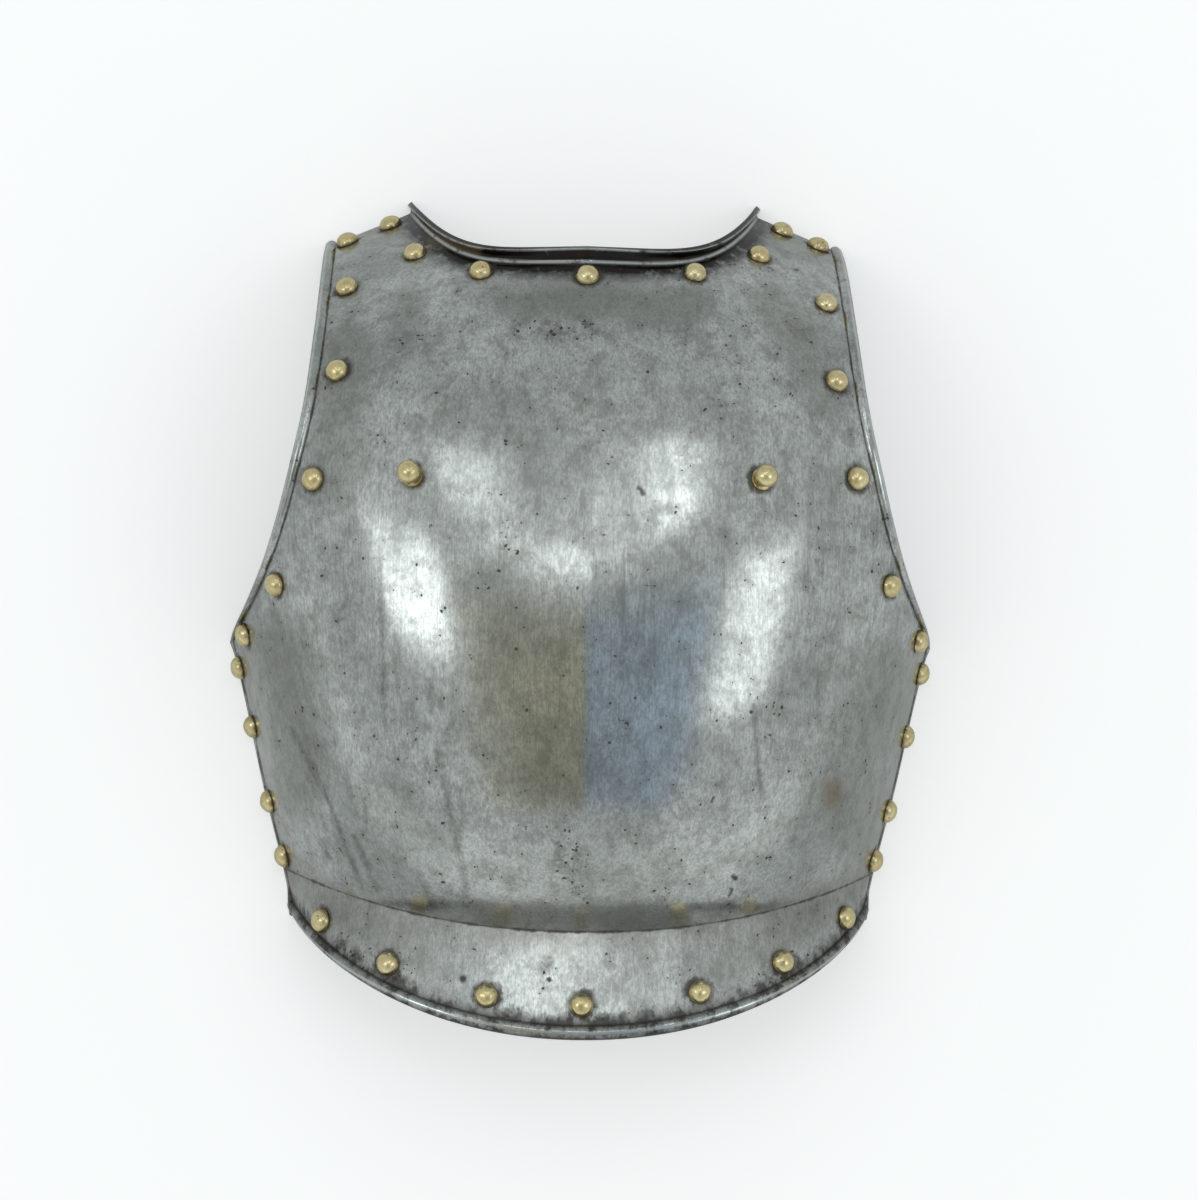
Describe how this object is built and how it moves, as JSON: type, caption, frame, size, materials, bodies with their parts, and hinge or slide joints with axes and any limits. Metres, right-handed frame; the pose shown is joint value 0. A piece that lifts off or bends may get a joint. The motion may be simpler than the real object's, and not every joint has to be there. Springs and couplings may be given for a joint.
{
  "type": "cuirass breastplate",
  "caption": "Domed steel breastplate with a medial ridge, flared waist flange, rolled armholes, turned-out neck flange, brass rim rivets and strap studs.",
  "frame": {"origin": "centre of the footprint, on the plane of the side edges and shoulder ends", "axes": "+X across the chest, +Y up to the neck, +Z out of the chest"},
  "size_m": [0.3648, 0.4358, 0.1451],
  "materials": {
    "polished_steel": "ground and polished, mottled patina with fine dark pits",
    "brass": "worn satin with dark grime at its edges"
  },
  "bodies": {
    "root": {"breastplate": "polished_steel", "neck_rivet_1": "brass", "neck_rivet_2": "brass", "neck_rivet_3": "brass", "neck_rivet_4": "brass", "neck_rivet_5": "brass", "shoulder_rivet_left_1": "brass", "shoulder_rivet_left_2": "brass", "shoulder_rivet_right_1": "brass", "shoulder_rivet_right_2": "brass", "armhole_rivet_left_1": "brass", "armhole_rivet_left_2": "brass", "armhole_rivet_left_3": "brass", "armhole_rivet_left_4": "brass", "armhole_rivet_left_5": "brass", "armhole_rivet_right_1": "brass", "armhole_rivet_right_2": "brass", "armhole_rivet_right_3": "brass", "armhole_rivet_right_4": "brass", "armhole_rivet_right_5": "brass", "side_rivet_left_1": "brass", "side_rivet_left_2": "brass", "side_rivet_left_3": "brass", "side_rivet_left_4": "brass", "side_rivet_right_1": "brass", "side_rivet_right_2": "brass", "side_rivet_right_3": "brass", "side_rivet_right_4": "brass", "waist_rivet_1": "brass", "waist_rivet_2": "brass", "waist_rivet_3": "brass", "waist_rivet_4": "brass", "waist_rivet_5": "brass", "waist_rivet_6": "brass", "waist_rivet_7": "brass", "strap_stud_left": "brass", "strap_stud_right": "brass"}
  },
  "joints": []
}
